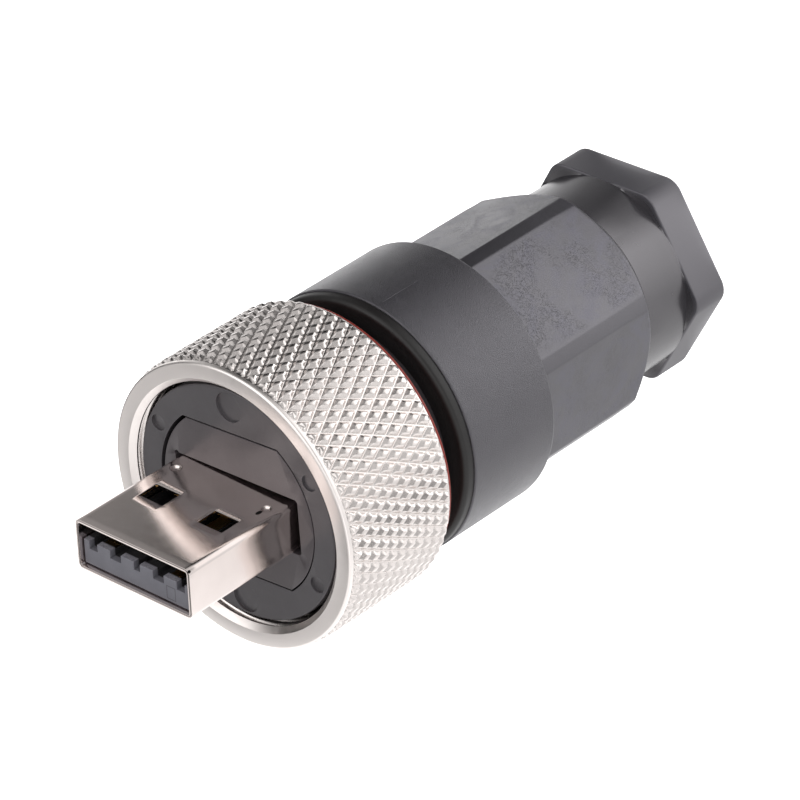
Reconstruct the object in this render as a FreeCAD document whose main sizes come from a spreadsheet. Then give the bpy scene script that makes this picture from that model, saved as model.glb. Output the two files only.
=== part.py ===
import FreeCAD, Part
import Sketcher
import os
import math
from FreeCAD import Vector, Placement, Rotation

# Sealed cable-mount USB-A plug: a stamped USB-A blade in a moulded insert, a
# plastic front housing, a loose knurled coupling ring, a hexagonal backshell
# and a cable gland nut at the rear.
#
# Every piece is drawn on the plug's own axis: X runs rearward from the tip of
# the blade, Z is up across the thin side of the blade, Y is its wide side.
# REST then stands the whole plug on the flat end of its gland nut, because
# the round coupling ring and collar would let it roll if it lay down. There
# +Z is towards the blade's tip, Y is along the blade's wide side and X is
# across its thin side.

doc = FreeCAD.newDocument("sealed_usb_plug")
sheet = doc.addObject("Spreadsheet::Sheet", "Sheet")

DIM = [
    # stamped blade
    ("blade_wide", 12.0), ("blade_thick", 4.5), ("blade_wall", 0.3),
    ("blade_long", 18.75), ("blade_corner", 0.5), ("window_front", 5.4),
    ("window_long", 2.0), ("window_wide", 2.5), ("window_mid", 3.1),
    ("dimple_pos", 10.0), ("dimple_mid", 4.75), ("dimple_ball", 0.55),
    # insulator and contacts
    ("tongue_tip", 0.4), ("tongue_wide", 11.15), ("tongue_low", -1.8),
    ("tongue_floor", -0.4), ("ridge_top", 0.05), ("lip_top", 0.3),
    ("lip_long", 0.6), ("ridge_wide", 1.35), ("block_front", 11.9),
    ("block_rear", 18.7), ("block_wide", 11.2),
    ("tail_block_rear", 20.4), ("contact_wide", 1.0),
    ("contact_tip", 1.0), ("contact_end", 23.0),
    # rear shield
    ("shield_wide", 12.4), ("shield_rear", 26.0),
    ("crimp_rad", 2.9), ("crimp_rear", 32.0),
    # insert
    ("insert_rad", 7.85), ("insert_flat", 6.22),
    ("insert_turn", -3.5), ("insert_collar_rad", 8.3), ("insert_step", 14.0),
    ("insert_rear", 16.5), ("slot_wide", 12.95), ("slot_thick", 5.3),
    ("keeper_rear", 18.7), ("keeper_rad", 8.36), ("keeper_bore", 7.0),
    # front housing
    ("face_pos", 11.7), ("face_rad", 10.15), ("dee_rad", 8.05),
    ("dee_flat", 6.32), ("house_bore", 8.4), ("shoulder_pos", 19.0),
    ("neck_rad", 9.4), ("spigot_front", 26.6), ("spigot_rad", 9.3),
    ("house_rear", 32.5), ("groove_front", 16.7), ("groove_rear", 17.9),
    ("groove_rad", 9.55), ("mark_small", 0.7), ("mark_large", 1.3),
    ("mark_deep", 0.15), ("mark_small_circle", 9.15), ("mark_large_circle", 8.62),
    # coupling ring
    ("ring_front", 11.0), ("ring_rear", 22.8), ("ring_rad", 12.5),
    ("ring_lip_rad", 12.3), ("ring_mouth", 10.96), ("ring_bore", 10.5),
    ("ring_flange_front", 19.05),
    ("ring_flange_bore", 9.46), ("ring_relief", 11.35),
    # washer behind the ring, stop ring
    ("washer_front", 22.84), ("washer_rear", 23.2), ("washer_rad", 12.0),
    ("stop_front", 25.6), ("stop_rad", 11.25), ("stop_bore", 9.42),
    # backshell
    ("collar_front", 26.65), ("collar_rear", 36.35), ("collar_rad", 11.5),
    ("hex_flat", 9.32), ("hex_bevel", 10.4), ("hex_phase", 39.4),
    ("hex_corner_end", 49.95), ("hex_end", 51.3), ("hex_end_rad", 8.95),
    ("shell_counterbore", 10.4), ("shell_counter_rear", 27.65),
    ("shell_thread", 9.35), ("shell_thread_rear", 33.2), ("shell_cavity", 8.4),
    ("shell_wall_front", 45.9), ("shell_wall_rear", 47.4), ("shell_wall_hole", 4.3),
    ("gland_bore", 6.0), ("tail_rad", 7.4), ("tail_rear", 57.2),
    # gland
    ("seal_front", 47.45), ("seal_rear", 56.2), ("seal_rad", 5.02),
    ("cable_rad", 3.2), ("cage_front", 47.5), ("cage_rear", 57.1),
    ("cage_rad", 5.94), ("cage_bore", 5.06), ("cage_slot_front", 50.2),
    ("cage_slot_wide", 0.8), ("slip_front", 57.3), ("slip_rear", 57.75),
    ("slip_rad", 7.25), ("slip_bore", 4.2),
    # gland nut
    ("nut_front", 51.45), ("nut_rad", 8.76), ("nut_bore", 7.46),
    ("nut_wall", 57.8), ("nut_hole", 4.0), ("flange_front", 56.4),
    ("flange_rear", 60.0), ("flange_flat", 8.74), ("flange_round", 1.7),
    ("flange_phase", 58.9),
]
VAL = {}
for row, (name, value) in enumerate(DIM, start=1):
    sheet.set("A%d" % row, name)
    sheet.set("B%d" % row, str(value))
    sheet.setAlias("B%d" % row, name)
    VAL[name] = value
doc.recompute()


def num(term):
    """A dimension in millimetres: by name, by name with an offset, or plain."""
    if isinstance(term, tuple):
        return VAL[term[0]] + term[1]
    if isinstance(term, str):
        return VAL[term]
    return float(term)


def text(term):
    """The same dimension by its name, or nothing where it is plain."""
    if isinstance(term, tuple):
        return "Sheet.%s + (%s)" % (term[0], term[1])
    if isinstance(term, str):
        return "Sheet.%s" % term
    return None


def bind(obj, prop, term):
    """Gives a piece one of its dimensions."""
    expression = text(term)
    if expression:
        obj.setExpression(prop, expression)
    else:
        setattr(obj, prop, num(term))


def plane_of(body, role):
    for feature in body.Origin.OriginFeatures:
        if feature.Role == role:
            return feature
    raise RuntimeError("no plane " + role)


def new_body(label):
    body = doc.addObject("PartDesign::Body", label)
    body.Label = label
    return body


def profile(body, name, points, role="XZ_Plane"):
    """The straight-sided section of a piece, each corner at its own dimension."""
    sketch = body.newObject("Sketcher::SketchObject", name)
    sketch.AttachmentSupport = [(plane_of(body, role), "")]
    sketch.MapMode = "FlatFace"
    count = len(points)
    for i in range(count):
        a, b = points[i], points[(i + 1) % count]
        sketch.addGeometry(Part.LineSegment(Vector(num(a[0]), num(a[1]), 0),
                                            Vector(num(b[0]), num(b[1]), 0)), False)
    for i in range(count):
        sketch.addConstraint(Sketcher.Constraint("Coincident", i, 2, (i + 1) % count, 1))
    for i, (u, v) in enumerate(points):
        for axis, term in (("X", u), ("Y", v)):
            if num(term) == 0.0:
                # a corner on the plug's axis
                sketch.addConstraint(Sketcher.Constraint("PointOnObject", i, 1, -2 if axis == "X" else -1))
                continue
            index = sketch.addConstraint(
                Sketcher.Constraint("Distance" + axis, -1, 1, i, 1, num(term)))
            tag = "at%s%d" % (axis, i)
            sketch.renameConstraint(index, tag)
            if text(term):
                sketch.setExpression("Constraints." + tag, text(term))
    return sketch


def turned(label, points, name="Section"):
    """A turned or moulded round piece: a section swung about the plug's axis."""
    body = new_body(label)
    sketch = profile(body, label + "_" + name, points)
    feature = body.newObject("PartDesign::Revolution", label + "_turn")
    feature.Profile = sketch
    feature.ReferenceAxis = (sketch, ["H_Axis"])
    feature.Angle = 360.0
    doc.recompute()
    return body


def slab(name, front, rear, wide, low, high, middle=0.0):
    """A flat block across the plug, centred on y = middle."""
    box = doc.addObject("Part::Box", name)
    box.setExpression("Length", "(%s) - (%s)" % (text(rear) or num(rear), text(front) or num(front)))
    bind(box, "Width", wide)
    box.setExpression("Height", "(%s) - (%s)" % (text(high) or num(high), text(low) or num(low)))
    box.setExpression("Placement.Base.x", text(front) or str(num(front)))
    box.setExpression("Placement.Base.y", "%s - (%s) / 2" % (num(middle), text(wide) or num(wide)))
    box.setExpression("Placement.Base.z", text(low) or str(num(low)))
    return box


def rod(name, front, rear, radius, y=0.0, z=0.0):
    """A round bar along the plug."""
    cyl = doc.addObject("Part::Cylinder", name)
    bind(cyl, "Radius", radius)
    cyl.setExpression("Height", "(%s) - (%s)" % (text(rear) or num(rear), text(front) or num(front)))
    cyl.Placement = Placement(Vector(num(front), y, z), Rotation(Vector(0, 1, 0), 90))
    return cyl


def prism(name, front, rear, flat, phase):
    """A hexagonal bar along the plug, with one corner at the angle phase from +Y."""
    bar = doc.addObject("Part::Prism", name)
    bar.Polygon = 6
    bar.setExpression("Circumradius", "(%s) / cos(30)" % (text(flat) or num(flat)))
    bar.setExpression("Height", "(%s) - (%s)" % (text(rear) or num(rear), text(front) or num(front)))
    turn = Rotation(Vector(1, 0, 0), num(phase) - 270.0).multiply(Rotation(Vector(0, 1, 0), 90))
    bar.Placement = Placement(Vector(num(front), 0, 0), turn)
    return bar


def fuse(name, parts):
    out = doc.addObject("Part::MultiFuse", name)
    out.Shapes = parts
    out.Refine = True
    return out


def cut(name, base, tool):
    out = doc.addObject("Part::Cut", name)
    out.Base = base
    out.Tool = tool
    out.Refine = True
    return out


def common(name, parts):
    out = doc.addObject("Part::MultiCommon", name)
    out.Shapes = parts
    out.Refine = True
    return out


def rounded(name, base, radius, pick):
    """Rounds the chosen edges of a piece."""
    doc.recompute()
    out = doc.addObject("Part::Fillet", name)
    out.Base = base
    out.Edges = [(i, radius, radius) for i, e in enumerate(base.Shape.Edges, start=1) if pick(e)]
    if not out.Edges:
        raise RuntimeError("no edge to round on " + name)
    doc.recompute()
    return out


def along_x(edge):
    a, b = edge.Vertexes[0].Point, edge.Vertexes[-1].Point
    return len(edge.Vertexes) == 2 and abs(b.x - a.x) > 0.2 and abs(b.y - a.y) < 1e-6 and abs(b.z - a.z) < 1e-6


NODES = []


def node(obj, label):
    obj.Label = label
    NODES.append(obj)
    return obj


# ---------------------------------------------------------------- the blade
# Stamped and folded steel, 0.3 mm thick, with two latch windows above and two
# below, and a pressed dimple behind each.
outer = slab("blade_outer", 0.0, "blade_long", "blade_wide", -2.25, 2.25)
outer.setExpression("Height", "Sheet.blade_thick")
outer.setExpression("Placement.Base.z", "-Sheet.blade_thick / 2")
outer_round = rounded("blade_outer_round", outer, VAL["blade_corner"], along_x)
inner = slab("blade_inner", -1.0, ("blade_long", 1.0), ("blade_wide", -0.6), -1.95, 1.95)
inner.setExpression("Width", "Sheet.blade_wide - 2 * Sheet.blade_wall")
inner.setExpression("Placement.Base.y", "-(Sheet.blade_wide - 2 * Sheet.blade_wall) / 2")
inner.setExpression("Height", "Sheet.blade_thick - 2 * Sheet.blade_wall")
inner.setExpression("Placement.Base.z", "-(Sheet.blade_thick - 2 * Sheet.blade_wall) / 2")
inner_round = rounded("blade_inner_round", inner, VAL["blade_corner"] - VAL["blade_wall"] + 0.05, along_x)
blade_tube = cut("blade_tube", outer_round, inner_round)
cutters = []
for side, sign in (("left", 1.0), ("right", -1.0)):
    hole = slab("window_" + side, "window_front", ("window_front", VAL["window_long"]),
                "window_wide", -5.0, 5.0, sign * VAL["window_mid"])
    cutters.append(hole)
    for level, up in (("upper", 1.0), ("lower", -1.0)):
        ball = doc.addObject("Part::Sphere", "dimple_%s_%s" % (side, level))
        bind(ball, "Radius", "dimple_ball")
        ball.Placement = Placement(Vector(VAL["dimple_pos"], sign * VAL["dimple_mid"],
                                          up * (VAL["blade_thick"] / 2 + VAL["dimple_ball"] - 0.2)), Rotation())
        cutters.append(ball)
blade_cuts = fuse("blade_cuts", cutters)
node(cut("usb_shell", blade_tube, blade_cuts), "usb_shell")

# ------------------------------------------------------- insulator, contacts
# One moulding: a thin tongue with four ridges that carry the contacts, a lip
# in front of each, end walls, and the block that fills the rear of the blade.
parts = [slab("tongue_slab", "tongue_tip", ("block_front", 0.5), "tongue_wide", "tongue_low", "tongue_floor")]
for tag, y in (("a", 3.5), ("b", 1.0), ("c", -1.0), ("d", -3.5)):
    parts.append(slab("ridge_" + tag, "tongue_tip", ("block_front", 0.5), "ridge_wide", "tongue_floor", "ridge_top", y))
    parts.append(slab("lip_" + tag, "tongue_tip", ("tongue_tip", VAL["lip_long"]), "ridge_wide", "tongue_floor", "lip_top", y))
for tag, y in (("left", 5.3), ("right", -5.3)):
    parts.append(slab("end_wall_" + tag, "tongue_tip", ("block_front", 0.5), 0.55, "tongue_floor", "lip_top", y))
parts.append(slab("insulator_block", "block_front", "block_rear", "block_wide", -1.85, 1.85))
parts.append(slab("insulator_tail", "block_rear", "tail_block_rear", 10.2, -1.7, 0.05))
insulator_solid = fuse("insulator_solid", parts)
slots = []
contacts = []
for label, y in (("contact_vbus", 3.5), ("contact_data_minus", 1.0), ("contact_data_plus", -1.0), ("contact_gnd", -3.5)):
    length = 0.0 if "data" not in label else 1.0
    front = ("contact_tip", length)
    slots.append(slab(label + "_slot", front, ("contact_end", 0.5), "contact_wide", "ridge_top", ("ridge_top", 0.2), y))
    strip = slab(label + "_strip", front, "contact_end", "contact_wide", "ridge_top", ("ridge_top", 0.2), y)
    # solder flag at the rear end, a little thicker than the strip
    flag = slab(label + "_flag", ("tail_block_rear", 0.4), "contact_end", 1.3, ("ridge_top", -0.15), ("ridge_top", 0.2), y)
    contacts.append((fuse(label, [strip, flag]), label))
insulator_slots = fuse("insulator_slots", slots)
node(cut("insulator", insulator_solid, insulator_slots), "insulator")
for strip, label in contacts:
    node(strip, label)

# ------------------------------------------------------------- rear shield
# Folded sheet that closes over the solder tails and ends in an open barrel,
# which is crimped on the cable.
can_out = slab("can_outer", "blade_long", "shield_rear", "shield_wide", -3.1, 3.1)
can_in = slab("can_inner", ("blade_long", -1.0), ("shield_rear", -0.3), 11.8, -2.8, 2.8)
can_hole = slab("can_hole", ("shield_rear", -1.0), ("shield_rear", 1.0), 5.0, -2.5, 4.0)
can_web = slab("can_web", ("shield_rear", -0.3), ("shield_rear", 2.2), 3.2, -2.9, -2.6)
barrel_out = rod("crimp_outer", ("shield_rear", 1.6), "crimp_rear", "crimp_rad")
barrel_in = rod("crimp_inner", ("shield_rear", 1.0), ("crimp_rear", 1.0), 2.6)
barrel_open = slab("crimp_mouth", ("shield_rear", 1.0), ("crimp_rear", 1.0), 3.6, 0.0, 4.0)
shield_solid = fuse("shield_solid", [can_out, can_web, barrel_out])
shield_void = fuse("shield_void", [can_in, can_hole, barrel_in, barrel_open])
node(cut("rear_shield", shield_solid, shield_void), "rear_shield")

# ------------------------------------------------------------------ insert
# Black moulding with two flats. It is turned a little in the housing, and the
# blade stands level in its slightly larger slot.
nose = rod("insert_nose", "face_pos", "insert_step", "insert_rad")
nose_flats = slab("insert_flats", ("face_pos", -1.0), ("insert_step", 1.0), 20.0, -6.22, 6.22)
nose_flats.setExpression("Height", "2 * Sheet.insert_flat")
nose_flats.setExpression("Placement.Base.z", "-Sheet.insert_flat")
nose_dee = common("insert_dee", [nose, nose_flats])
insert_back = rod("insert_back", "insert_step", "insert_rear", "insert_collar_rad")
insert_solid = fuse("insert_solid", [nose_dee, insert_back])
insert_slot = slab("insert_slot", ("face_pos", -1.0), ("insert_rear", 1.0), "slot_wide", -2.65, 2.65)
insert_slot.setExpression("Height", "Sheet.slot_thick")
insert_slot.setExpression("Placement.Base.z", "-Sheet.slot_thick / 2")
insert = node(cut("insert", insert_solid, insert_slot), "insert")
insert.Placement = Placement(Vector(0, 0, 0), Rotation(Vector(1, 0, 0), VAL["insert_turn"]))

# threaded keeper that holds the insert from behind
node(turned("insert_keeper", [("insert_rear", "keeper_bore"), ("keeper_rear", "keeper_bore"),
                              ("keeper_rear", "keeper_rad"), ("insert_rear", "keeper_rad")]), "insert_keeper")

# ----------------------------------------------------------- front housing
# Face disc, barrel with a seal groove, neck for the coupling ring, and the
# threaded spigot that the backshell screws on to.
house = turned("front_housing", [
    ("face_pos", 3.0), ("face_pos", ("face_rad", -0.2)), (("face_pos", 0.2), "face_rad"),
    ("groove_front", "face_rad"), ("groove_front", "groove_rad"), ("groove_rear", "groove_rad"),
    ("groove_rear", "face_rad"), ("shoulder_pos", "face_rad"), ("shoulder_pos", "neck_rad"),
    ("spigot_front", "neck_rad"), ("spigot_front", "spigot_rad"), ("house_rear", "spigot_rad"),
    ("house_rear", "house_bore"), ("insert_step", "house_bore"), ("insert_step", 3.0)])
volume_before = house.Shape.Volume
# opening with two flats for the insert, through the face wall
dee = house.newObject("Sketcher::SketchObject", "housing_dee")
dee.AttachmentSupport = [(plane_of(house, "YZ_Plane"), "")]
dee.MapMode = "FlatFace"
dee.AttachmentOffset = Placement(Vector(0, 0, VAL["face_pos"] - 0.5), Rotation(Vector(0, 0, 1), VAL["insert_turn"]))
dee.setExpression("AttachmentOffset.Base.z", "Sheet.face_pos - 0.5")
half = math.sqrt(VAL["dee_rad"] ** 2 - VAL["dee_flat"] ** 2)
lean = math.atan2(VAL["dee_flat"], half)
dee.addGeometry(Part.ArcOfCircle(Part.Circle(Vector(0, 0, 0), Vector(0, 0, 1), VAL["dee_rad"]), -lean, lean), False)
dee.addGeometry(Part.LineSegment(Vector(half, VAL["dee_flat"], 0), Vector(-half, VAL["dee_flat"], 0)), False)
dee.addGeometry(Part.ArcOfCircle(Part.Circle(Vector(0, 0, 0), Vector(0, 0, 1), VAL["dee_rad"]), math.pi - lean, math.pi + lean), False)
dee.addGeometry(Part.LineSegment(Vector(-half, -VAL["dee_flat"], 0), Vector(half, -VAL["dee_flat"], 0)), False)
for a, ap, b, bp in ((0, 2, 1, 1), (1, 2, 2, 1), (2, 2, 3, 1), (3, 2, 0, 1)):
    dee.addConstraint(Sketcher.Constraint("Coincident", a, ap, b, bp))
dee.addConstraint(Sketcher.Constraint("Coincident", 0, 3, -1, 1))
dee.addConstraint(Sketcher.Constraint("Coincident", 2, 3, -1, 1))
dee.addConstraint(Sketcher.Constraint("Horizontal", 1))
dee.addConstraint(Sketcher.Constraint("Horizontal", 3))
index = dee.addConstraint(Sketcher.Constraint("Radius", 0, VAL["dee_rad"]))
dee.renameConstraint(index, "dee_size")
dee.setExpression("Constraints.dee_size", "Sheet.dee_rad")
index = dee.addConstraint(Sketcher.Constraint("DistanceY", -1, 1, 1, 1, VAL["dee_flat"]))
dee.renameConstraint(index, "flat")
dee.setExpression("Constraints.flat", "Sheet.dee_flat")
index = dee.addConstraint(Sketcher.Constraint("DistanceY", 3, 1, -1, 1, VAL["dee_flat"]))
dee.renameConstraint(index, "flat_low")
dee.setExpression("Constraints.flat_low", "Sheet.dee_flat")
pocket = house.newObject("PartDesign::Pocket", "housing_opening")
pocket.Profile = dee
pocket.Type = 0
pocket.setExpression("Length", "Sheet.insert_step - Sheet.face_pos + 1")
pocket.Reversed = True
doc.recompute()
if not house.Shape.Volume < volume_before - 50.0:
    raise RuntimeError("the insert opening cut nothing")
volume_before = house.Shape.Volume
# shallow round marks of the ejector pins in the face
marks = house.newObject("Sketcher::SketchObject", "face_marks")
marks.AttachmentSupport = [(plane_of(house, "YZ_Plane"), "")]
marks.MapMode = "FlatFace"
marks.AttachmentOffset = Placement(Vector(0, 0, VAL["face_pos"] - 0.5), Rotation(Vector(0, 0, 1), -2.0))
marks.setExpression("AttachmentOffset.Base.z", "Sheet.face_pos - 0.5")
for i, (deg, circle, size) in enumerate(((30, "mark_small_circle", "mark_small"), (150, "mark_small_circle", "mark_small"),
                                         (210, "mark_small_circle", "mark_small"), (330, "mark_small_circle", "mark_small"),
                                         (90, "mark_large_circle", "mark_large"), (270, "mark_large_circle", "mark_large"))):
    a = math.radians(deg)
    marks.addGeometry(Part.Circle(Vector(VAL[circle] * math.cos(a), VAL[circle] * math.sin(a), 0), Vector(0, 0, 1), VAL[size]), False)
    index = marks.addConstraint(Sketcher.Constraint("Radius", i, VAL[size]))
    marks.renameConstraint(index, "mark_size_%d" % i)
    marks.setExpression("Constraints.mark_size_%d" % i, "Sheet." + size)
mark_pocket = house.newObject("PartDesign::Pocket", "face_mark_recesses")
mark_pocket.Profile = marks
mark_pocket.Type = 0
mark_pocket.setExpression("Length", "0.5 + Sheet.mark_deep")
mark_pocket.Reversed = True
doc.recompute()
if not house.Shape.Volume < volume_before - 0.5:
    raise RuntimeError("the face marks cut nothing")
node(house, "front_housing")

# O-ring in the barrel groove, which seals in the mating socket
def oring(label, pos, mean_rad, section):
    ring = doc.addObject("Part::Torus", label)
    ring.Radius1 = mean_rad
    ring.Radius2 = section
    ring.Placement = Placement(Vector(pos, 0, 0), Rotation(Vector(0, 1, 0), 90))
    return ring

plug_seal = oring("plug_seal", (VAL["groove_front"] + VAL["groove_rear"]) / 2, 10.0, 0.43)
plug_seal.setExpression("Radius1", "Sheet.groove_rad + 0.45")
node(plug_seal, "plug_seal")

# ------------------------------------------------------------ coupling ring
# The knurl and the fine thread are cut in the plain outer face and bore.
node(turned("coupling_ring", [
    ("ring_front", "ring_mouth"), ("ring_front", ("ring_lip_rad", -0.12)),
    (("ring_front", 0.12), "ring_lip_rad"), (("ring_front", 0.5), "ring_lip_rad"),
    (("ring_front", 0.65), "ring_rad"), (("ring_rear", -0.15), "ring_rad"),
    ("ring_rear", ("ring_rad", -0.15)), ("ring_rear", ("ring_flange_bore", 0.2)),
    (("ring_rear", -0.2), "ring_flange_bore"), ("ring_flange_front", "ring_flange_bore"),
    ("ring_flange_front", "ring_relief"), (("ring_flange_front", -0.9), "ring_relief"),
    (("ring_flange_front", -0.9), "ring_bore"), (("ring_front", 0.46), "ring_bore")]), "coupling_ring")

# thin red silicone washer behind the ring
node(turned("ring_washer", [("washer_front", "ring_flange_bore"), ("washer_rear", "ring_flange_bore"),
                            ("washer_rear", ("washer_rad", -0.1)), (("washer_rear", -0.1), "washer_rad"),
                            ("washer_front", "washer_rad")]), "ring_washer")

# stop ring in front of the backshell, with a rounded outer edge
stop = turned("stop_ring", [("stop_front", "stop_bore"), (("spigot_front", -0.02), "stop_bore"),
                            (("spigot_front", -0.02), "stop_rad"), ("stop_front", "stop_rad")])
edge_name = ""
for i, e in enumerate(stop.Shape.Edges, start=1):
    if isinstance(e.Curve, Part.Circle) and abs(e.Curve.Radius - VAL["stop_rad"]) < 1e-6 and abs(e.Curve.Center.x - VAL["stop_front"]) < 1e-6:
        edge_name = "Edge%d" % i
stop_round = stop.newObject("PartDesign::Fillet", "stop_ring_round")
stop_round.Base = (stop.Tip if stop.Tip.Name != "stop_ring_round" else doc.getObject("stop_ring_turn"), [edge_name])
stop_round.Radius = 0.4
doc.recompute()
node(stop, "stop_ring")

# O-ring between the spigot and the backshell
body_seal = oring("body_seal", 27.13, 9.84, 0.46)
node(body_seal, "body_seal")

# ---------------------------------------------------------------- backshell
# Round collar, hexagonal grip with bevelled corners and a coned end, and the
# threaded tail that carries the gland nut.
envelope = turned("shell_envelope", [
    ("collar_front", 3.0), ("collar_front", ("collar_rad", -0.25)), (("collar_front", 0.25), "collar_rad"),
    (("collar_rear", -0.35), "collar_rad"), (("collar_rear", -0.1), ("collar_rad", -0.12)),
    ("collar_rear", ("collar_rad", -0.4)), ("collar_rear", 3.0)])
grip_turn = turned("grip_envelope", [
    (("collar_rear", -1.0), 2.0), (("collar_rear", -1.0), ("hex_bevel", 0.6)), (("hex_corner_end", -0.53), ("hex_bevel", 0.6)),
    ("hex_end", "hex_end_rad"), ("hex_end", 2.0)])
grip_a = prism("grip_hexagon", ("collar_rear", -1.0), "hex_end", "hex_flat", "hex_phase")
grip_b = prism("grip_bevels", ("collar_rear", -1.0), "hex_end", "hex_bevel", ("hex_phase", 30.0))
grip = common("grip", [grip_turn, grip_a, grip_b])
tail = rod("shell_tail", ("hex_end", -0.5), "tail_rear", "tail_rad")
shell_solid = fuse("shell_solid", [envelope, grip, tail])
hollow = turned("shell_hollow", [
    (("collar_front", -1.0), 0.0), (("collar_front", -1.0), "shell_counterbore"), ("shell_counter_rear", "shell_counterbore"),
    ("shell_counter_rear", "shell_thread"), ("shell_thread_rear", "shell_thread"), ("shell_thread_rear", "shell_cavity"),
    ("shell_wall_front", "shell_cavity"), ("shell_wall_front", "shell_wall_hole"), ("shell_wall_rear", "shell_wall_hole"),
    ("shell_wall_rear", "gland_bore"), (("tail_rear", 1.0), "gland_bore"), (("tail_rear", 1.0), 0.0)])
node(cut("backshell", shell_solid, hollow), "backshell")

# -------------------------------------------------------------------- gland
node(turned("gland_seal", [("seal_front", "cable_rad"), ("seal_rear", "cable_rad"),
                           ("seal_rear", ("seal_rad", -0.3)), (("seal_rear", -0.5), "seal_rad"),
                           ("seal_front", "seal_rad")]), "gland_seal")
cage_tube = turned("cage_tube", [("cage_front", "cage_bore"), ("cage_rear", "cage_bore"),
                                 ("cage_rear", ("cage_rad", -0.35)), (("cage_rear", -0.6), "cage_rad"),
                                 ("cage_front", "cage_rad")])
slits = []
for i in range(4):
    slit = slab("cage_slit_%d" % i, "cage_slot_front", ("cage_rear", 1.0), 16.0, -0.4, 0.4)
    slit.setExpression("Height", "Sheet.cage_slot_wide")
    slit.setExpression("Placement.Base.y", "0")
    slit.setExpression("Placement.Base.z", "0")
    slit.setExpression("Placement.Base.x", "0")
    slit.Placement = Placement()
    slit_turn = Rotation(Vector(1, 0, 0), 45.0 * i)
    for prop in ("Placement.Base.x", "Placement.Base.y", "Placement.Base.z"):
        slit.setExpression(prop, None)
    corner = slit_turn.multVec(Vector(0, -8.0, -VAL["cage_slot_wide"] / 2))
    slit.Placement = Placement(Vector(VAL["cage_slot_front"], corner.y, corner.z), slit_turn)
    slits.append(slit)
cage_slits = fuse("cage_slits", slits)
node(cut("gland_cage", cage_tube, cage_slits), "gland_cage")
node(turned("slip_washer", [("slip_front", "slip_bore"), ("slip_rear", "slip_bore"),
                            ("slip_rear", "slip_rad"), ("slip_front", "slip_rad")]), "slip_washer")

# ----------------------------------------------------------------- gland nut
nut_skirt = turned("nut_skirt", [("nut_front", 2.0), ("nut_front", ("nut_rad", -0.2)), (("nut_front", 0.2), "nut_rad"),
                                 (("flange_front", 0.5), "nut_rad"), (("flange_front", 0.5), 2.0)])
nut_bar = prism("nut_bar", "flange_front", "flange_rear", "flange_flat", "flange_phase")
nut_flange = rounded("nut_flange", nut_bar, VAL["flange_round"], along_x)
nut_solid = fuse("nut_solid", [nut_skirt, nut_flange])
nut_hollow = turned("nut_hollow", [
    (("nut_front", -1.0), 0.0), (("nut_front", -1.0), ("nut_bore", 0.3)), ("nut_front", ("nut_bore", 0.3)),
    (("nut_front", 0.3), "nut_bore"), ("nut_wall", "nut_bore"), ("nut_wall", "nut_hole"),
    (("flange_rear", -0.4), "nut_hole"), ("flange_rear", ("nut_hole", 0.4)), (("flange_rear", 1.0), ("nut_hole", 0.4)),
    (("flange_rear", 1.0), 0.0)])
node(cut("gland_nut", nut_solid, nut_hollow), "gland_nut")

doc.recompute()

# ------------------------------------------------------------ rest and export
# The plug stands on the flat rear face of its gland nut: the blade's tip is
# uppermost, and the plug's axis is the Z axis.
REST = Placement(Vector(0, 0, VAL["flange_rear"]), Rotation(Vector(0, 1, 0), 90))
for obj in NODES:
    obj.Placement = REST.multiply(obj.Placement)
doc.recompute()

failed = [o.Name for o in doc.Objects if "Invalid" in o.State or "Error" in o.State]
if failed:
    raise RuntimeError("failed: " + ", ".join(failed))
os.makedirs("parts", exist_ok=True)
for obj in NODES:
    shape = obj.Shape
    if shape.isNull() or not shape.isValid() or len(shape.Solids) < 1:
        raise RuntimeError("bad shape: " + obj.Label)
    box = shape.optimalBoundingBox(False)
    print("%-20s solids %d vol %9.2f  x %.2f..%.2f y %.2f..%.2f z %.2f..%.2f" % (
        obj.Label, len(shape.Solids), shape.Volume, box.XMin, box.XMax, box.YMin, box.YMax, box.ZMin, box.ZMax))
for obj in NODES:
    obj.Shape.exportStep(os.path.join("parts", obj.Label + ".step"))
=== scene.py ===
import bpy
import bmesh
import math
import numpy as np
from mathutils import Vector, Matrix
from mathutils.geometry import delaunay_2d_cdt


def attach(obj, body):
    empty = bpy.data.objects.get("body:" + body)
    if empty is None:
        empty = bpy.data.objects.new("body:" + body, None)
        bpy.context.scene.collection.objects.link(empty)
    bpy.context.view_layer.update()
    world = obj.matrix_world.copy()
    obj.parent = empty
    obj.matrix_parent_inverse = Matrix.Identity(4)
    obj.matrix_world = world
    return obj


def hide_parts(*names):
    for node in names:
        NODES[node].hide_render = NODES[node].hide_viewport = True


# Sealed cable-mount USB-A plug, standing on its gland nut.
#
# Shapes are written on the plug's own axis in millimetres: x runs rearward
# from the tip of the blade, y is the blade's wide side, z its thin side. The
# row frame has +Z towards the blade's tip, so a point goes to
# (z, y, 60 - x) in millimetres.

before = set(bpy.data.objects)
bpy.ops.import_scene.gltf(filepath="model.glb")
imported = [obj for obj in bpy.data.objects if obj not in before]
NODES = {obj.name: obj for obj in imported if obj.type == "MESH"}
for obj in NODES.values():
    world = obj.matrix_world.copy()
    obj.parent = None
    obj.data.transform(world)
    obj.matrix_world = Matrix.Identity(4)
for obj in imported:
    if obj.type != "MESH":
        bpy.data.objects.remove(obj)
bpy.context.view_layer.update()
LONG = 60.0
PI = math.pi
TAU = 2 * PI


def row(points):
    p = np.asarray(points, float).reshape(-1, 3)
    return np.stack([p[:, 2], p[:, 1], LONG - p[:, 0]], 1) * 0.001


def row_dir(v):
    return Vector((v[2], v[1], -v[0]))


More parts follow.
